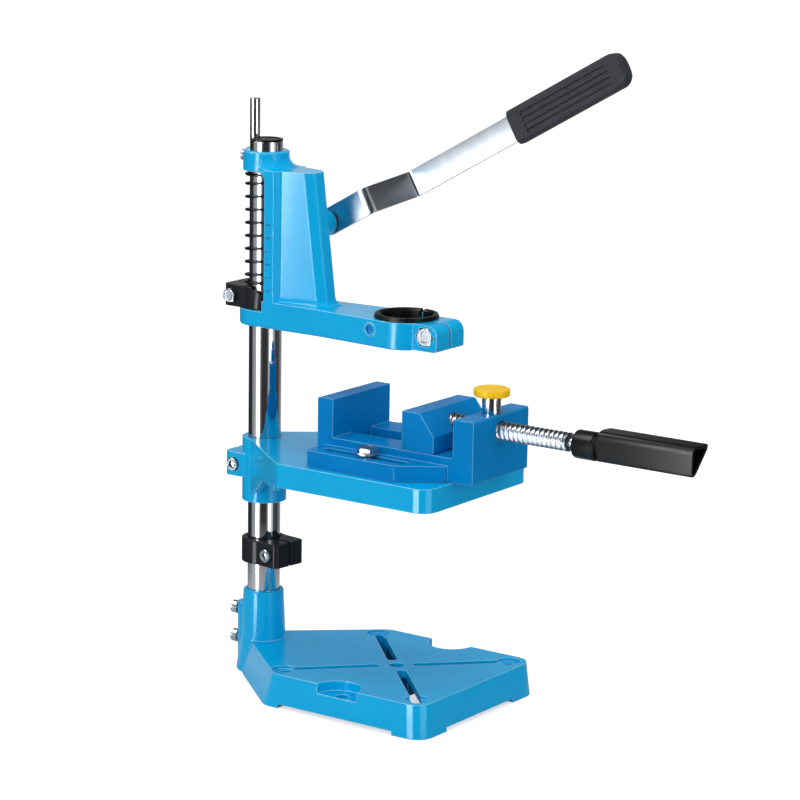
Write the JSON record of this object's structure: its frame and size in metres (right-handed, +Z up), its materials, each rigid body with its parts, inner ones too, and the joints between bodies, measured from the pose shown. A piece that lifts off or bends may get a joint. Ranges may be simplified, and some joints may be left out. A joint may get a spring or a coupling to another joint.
{
  "type": "drill stand",
  "caption": "Bench drill stand: steel column on a slotted base, spring-returned drill head with rack-and-pinion lever, adjustable table and a quick-release vise.",
  "frame": {"origin": "on the column's axis at the height of the surface the base stands on", "axes": "+Z up the column, -Y to the front where the arm and the table reach, +X to the side of the feed lever"},
  "size_m": [0.1567, 0.4125, 0.4888],
  "materials": {
    "stand_paint": "smooth gloss blue paint on die-cast metal",
    "black_paint": "satin black paint on steel",
    "vise_paint": "satin darker blue paint on cast metal",
    "chrome": "bright plated steel",
    "zinc": "zinc-plated steel",
    "spring_steel": "dark oiled spring wire",
    "bronze": "sintered bronze",
    "black_plastic": "satin black moulded plastic",
    "grip_plastic": "soft dark grey moulded grip",
    "yellow_plastic": "glossy yellow plastic"
  },
  "bodies": {
    "stand": {"base_plate": "stand_paint", "column_tube": "chrome", "column_cap": "black_plastic", "base_set_screw_upper": "zinc", "base_set_screw_lower": "zinc", "head_collar": "black_paint", "head_collar_bolt": "zinc", "rack_bar": "zinc", "rack_screw": "zinc", "return_spring": "spring_steel"},
    "stop_collar": {"stop_collar": "black_paint", "stop_collar_screw": "zinc"},
    "table": {"table_plate": "stand_paint", "table_clamp_screw": "zinc", "vise_body": "vise_paint", "vise_bolt_near": "zinc", "vise_bolt_far": "zinc", "vise_nut_near": "zinc", "vise_nut_far": "zinc", "release_sleeve": "chrome", "release_spring": "spring_steel"},
    "moving_jaw": {"moving_jaw": "vise_paint", "jaw_keeper_plate": "zinc", "keeper_screw_front": "zinc", "keeper_screw_rear": "zinc"},
    "vise_screw": {"vise_screw": "zinc", "vise_handle": "black_plastic"},
    "release": {"release_plunger": "zinc", "release_knob": "yellow_plastic"},
    "head": {"head_casting": "stand_paint", "nose_clamp_bolt": "zinc", "nose_clamp_nut": "zinc", "adapter_ring": "black_plastic", "depth_rod_screw": "zinc", "shaft_bush": "bronze"},
    "depth_rod": {"depth_rod": "chrome"},
    "lever": {"pinion": "zinc", "pinion_shaft": "zinc", "pinion_pin": "zinc", "lever_arm": "zinc", "lever_grip": "grip_plastic", "lever_bolt": "zinc"}
  },
  "joints": [
    {"name": "head_slide", "type": "slide", "parent": "stand", "child": "head", "axis": [0, 0, -1], "range_m": [0, 0.038], "stiffness_N_per_m": 1000, "springref_m": -0.045, "deforming": ["return_spring"]},
    {"name": "lever_turn", "type": "hinge", "parent": "head", "child": "lever", "pos_m": [0, -0.036, 0.3485], "axis": [1, 0, 0], "range_deg": [0, 162]},
    {"name": "depth_rod_slide", "type": "slide", "parent": "head", "child": "depth_rod", "axis": [0, 0, 1], "range_m": [0, 0.045]},
    {"name": "table_slide", "type": "slide", "parent": "stand", "child": "table", "axis": [0, 0, -1], "range_m": [0, 0.028]},
    {"name": "stop_collar_slide", "type": "slide", "parent": "stand", "child": "stop_collar", "axis": [0, 0, -1], "range_m": [0, 0.022]},
    {"name": "jaw_slide", "type": "slide", "parent": "table", "child": "moving_jaw", "axis": [0, 1, 0], "range_m": [-0.016, 0.06]},
    {"name": "vise_screw_turn", "type": "hinge", "parent": "moving_jaw", "child": "vise_screw", "pos_m": [0, -0.24, 0.219], "axis": [0, 1, 0], "range_deg": [-1450, 5410]},
    {"name": "release_lift", "type": "slide", "parent": "table", "child": "release", "axis": [0, 0, 1], "range_m": [0, 0.0035], "stiffness_N_per_m": 1500, "springref_m": -0.003, "deforming": ["release_spring"]}
  ],
  "couplings": [
    {"joint": "lever_turn", "follows": "head_slide", "rad_per_m": 74.074},
    {"joint": "vise_screw_turn", "follows": "jaw_slide", "rad_per_m": 1570.8}
  ]
}
